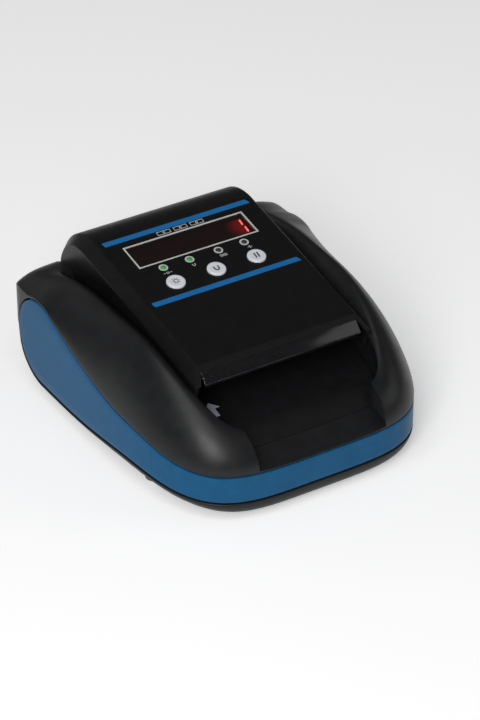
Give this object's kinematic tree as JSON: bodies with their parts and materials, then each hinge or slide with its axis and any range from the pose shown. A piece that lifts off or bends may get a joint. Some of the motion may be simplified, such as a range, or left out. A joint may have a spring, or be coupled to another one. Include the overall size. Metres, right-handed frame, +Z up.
{
  "type": "banknote counter",
  "caption": "Low desktop banknote counter with a hinged lid, sloping key panel, smoked visor, front feed tray and a blue band round its base.",
  "frame": {"origin": "on the table under the middle of the machine", "axes": "+Z up, -Y towards the operator and the feed tray, +X to the operator's right"},
  "size_m": [0.146, 0.168, 0.0795],
  "materials": {
    "shell_plastic": "satin black moulded plastic, fine grain",
    "tray_plastic": "black moulded plastic",
    "lid_plastic": "satin black moulded plastic",
    "trim_blue": "satin blue moulded plastic",
    "stripe_blue": "printed blue stripe",
    "bed_plastic": "semi-gloss black guide plate",
    "window_red": "dark red filter window",
    "print_white": "pale printed outline",
    "button_white": "pale grey key cap",
    "led_green": "green indicator lens",
    "visor_smoke": "smoked clear plastic",
    "rubber_black": "black rubber",
    "rubber_grey": "grey roller rubber",
    "press_pale": "pale nylon roller",
    "pulley_nylon": "natural nylon",
    "steel": "ground steel",
    "frame_steel": "zinc plated sheet",
    "bronze": "sintered bronze",
    "board_green": "green circuit board",
    "part_black": "black electronic parts",
    "head_gold": "magnetic head housing",
    "label_white": "printed label",
    "lamp_violet": "ultraviolet lamp housing"
  },
  "bodies": {
    "root": {"base_tray": "tray_plastic", "rubber_feet": "rubber_black", "base_screws": "steel", "upper_shell": "shell_plastic", "trim_band": "trim_blue", "feed_bed": "bed_plastic", "tray_arrow_label": "label_white", "hinge_posts": "part_black", "hinge_pins": "steel", "side_frames": "frame_steel", "shaft_bushes": "bronze", "drive_motor": "frame_steel", "drive_belt": "rubber_black", "magnetic_heads": "head_gold", "sensor_board": "board_green", "encoder_sensor": "part_black", "main_board": "board_green", "board_screws": "steel", "board_parts": "part_black", "dc_jack": "part_black", "switch_housing": "part_black"},
    "lid": {"lid_cover": "lid_plastic", "panel_overlay": "lid_plastic", "panel_stripes": "stripe_blue", "display_window": "window_red", "window_frame": "print_white", "digit_display": "part_black", "panel_board": "board_green", "panel_switches": "part_black", "indicator_leds": "led_green", "led_rings": "print_white", "smoked_visor": "visor_smoke", "upper_guide": "bed_plastic", "roller_brackets": "part_black", "press_springs": "steel", "uv_lamp_module": "lamp_violet"},
    "power_rocker": {"switch_rocker": "part_black"},
    "motor_rotor": {"motor_pulley": "pulley_nylon"},
    "feed_roller": {"feed_shaft": "steel", "feed_tyres": "rubber_grey", "feed_pulley": "pulley_nylon", "encoder_disc": "part_black"},
    "exit_roller": {"exit_shaft": "steel", "exit_tyres": "rubber_grey", "exit_pulley": "pulley_nylon"},
    "uv_key": {"uv_button": "button_white"},
    "mg_key": {"mg_button": "button_white"},
    "pause_key": {"pause_button": "button_white"},
    "front_press": {"front_press_shaft": "steel", "front_press_rollers": "press_pale"},
    "rear_press": {"rear_press_shaft": "steel", "rear_press_rollers": "press_pale"}
  },
  "joints": [
    {"name": "lid_hinge", "type": "hinge", "parent": "root", "child": "lid", "pos_m": [0, 0.054, 0.0515], "axis": [-1, 0, 0], "range_deg": [0, 60]},
    {"name": "power_rocker", "type": "hinge", "parent": "root", "child": "power_rocker", "pos_m": [0.03, 0.0735, 0.0109], "axis": [1, 0, 0], "range_deg": [0, 14]},
    {"name": "feed_spin", "type": "hinge", "parent": "root", "child": "feed_roller", "pos_m": [0, -0.008, 0.035], "axis": [1, 0, 0], "continuous": true},
    {"name": "motor_spin", "type": "hinge", "parent": "root", "child": "motor_rotor", "pos_m": [0, 0.022, 0.018], "axis": [1, 0, 0], "continuous": true},
    {"name": "exit_spin", "type": "hinge", "parent": "root", "child": "exit_roller", "pos_m": [0, 0.05, 0.035], "axis": [1, 0, 0], "continuous": true},
    {"name": "front_press_spin", "type": "hinge", "parent": "lid", "child": "front_press", "pos_m": [0, -0.008, 0.0473], "axis": [1, 0, 0], "continuous": true},
    {"name": "rear_press_spin", "type": "hinge", "parent": "lid", "child": "rear_press", "pos_m": [0, 0.05, 0.0473], "axis": [1, 0, 0], "continuous": true},
    {"name": "uv_key_press", "type": "slide", "parent": "lid", "child": "uv_key", "axis": [0, 0.1736, -0.9848], "range_m": [0, 0.0006], "stiffness_N_per_m": 400, "springref_m": -0.001},
    {"name": "mg_key_press", "type": "slide", "parent": "lid", "child": "mg_key", "axis": [0, 0.1736, -0.9848], "range_m": [0, 0.0006], "stiffness_N_per_m": 400, "springref_m": -0.001},
    {"name": "pause_key_press", "type": "slide", "parent": "lid", "child": "pause_key", "axis": [0, 0.1736, -0.9848], "range_m": [0, 0.0006], "stiffness_N_per_m": 400, "springref_m": -0.001}
  ],
  "couplings": [
    {"joint": "motor_spin", "follows": "feed_spin", "ratio": 1},
    {"joint": "exit_spin", "follows": "feed_spin", "ratio": 1},
    {"joint": "front_press_spin", "follows": "feed_spin", "ratio": -1.4},
    {"joint": "rear_press_spin", "follows": "feed_spin", "ratio": -1.4}
  ]
}
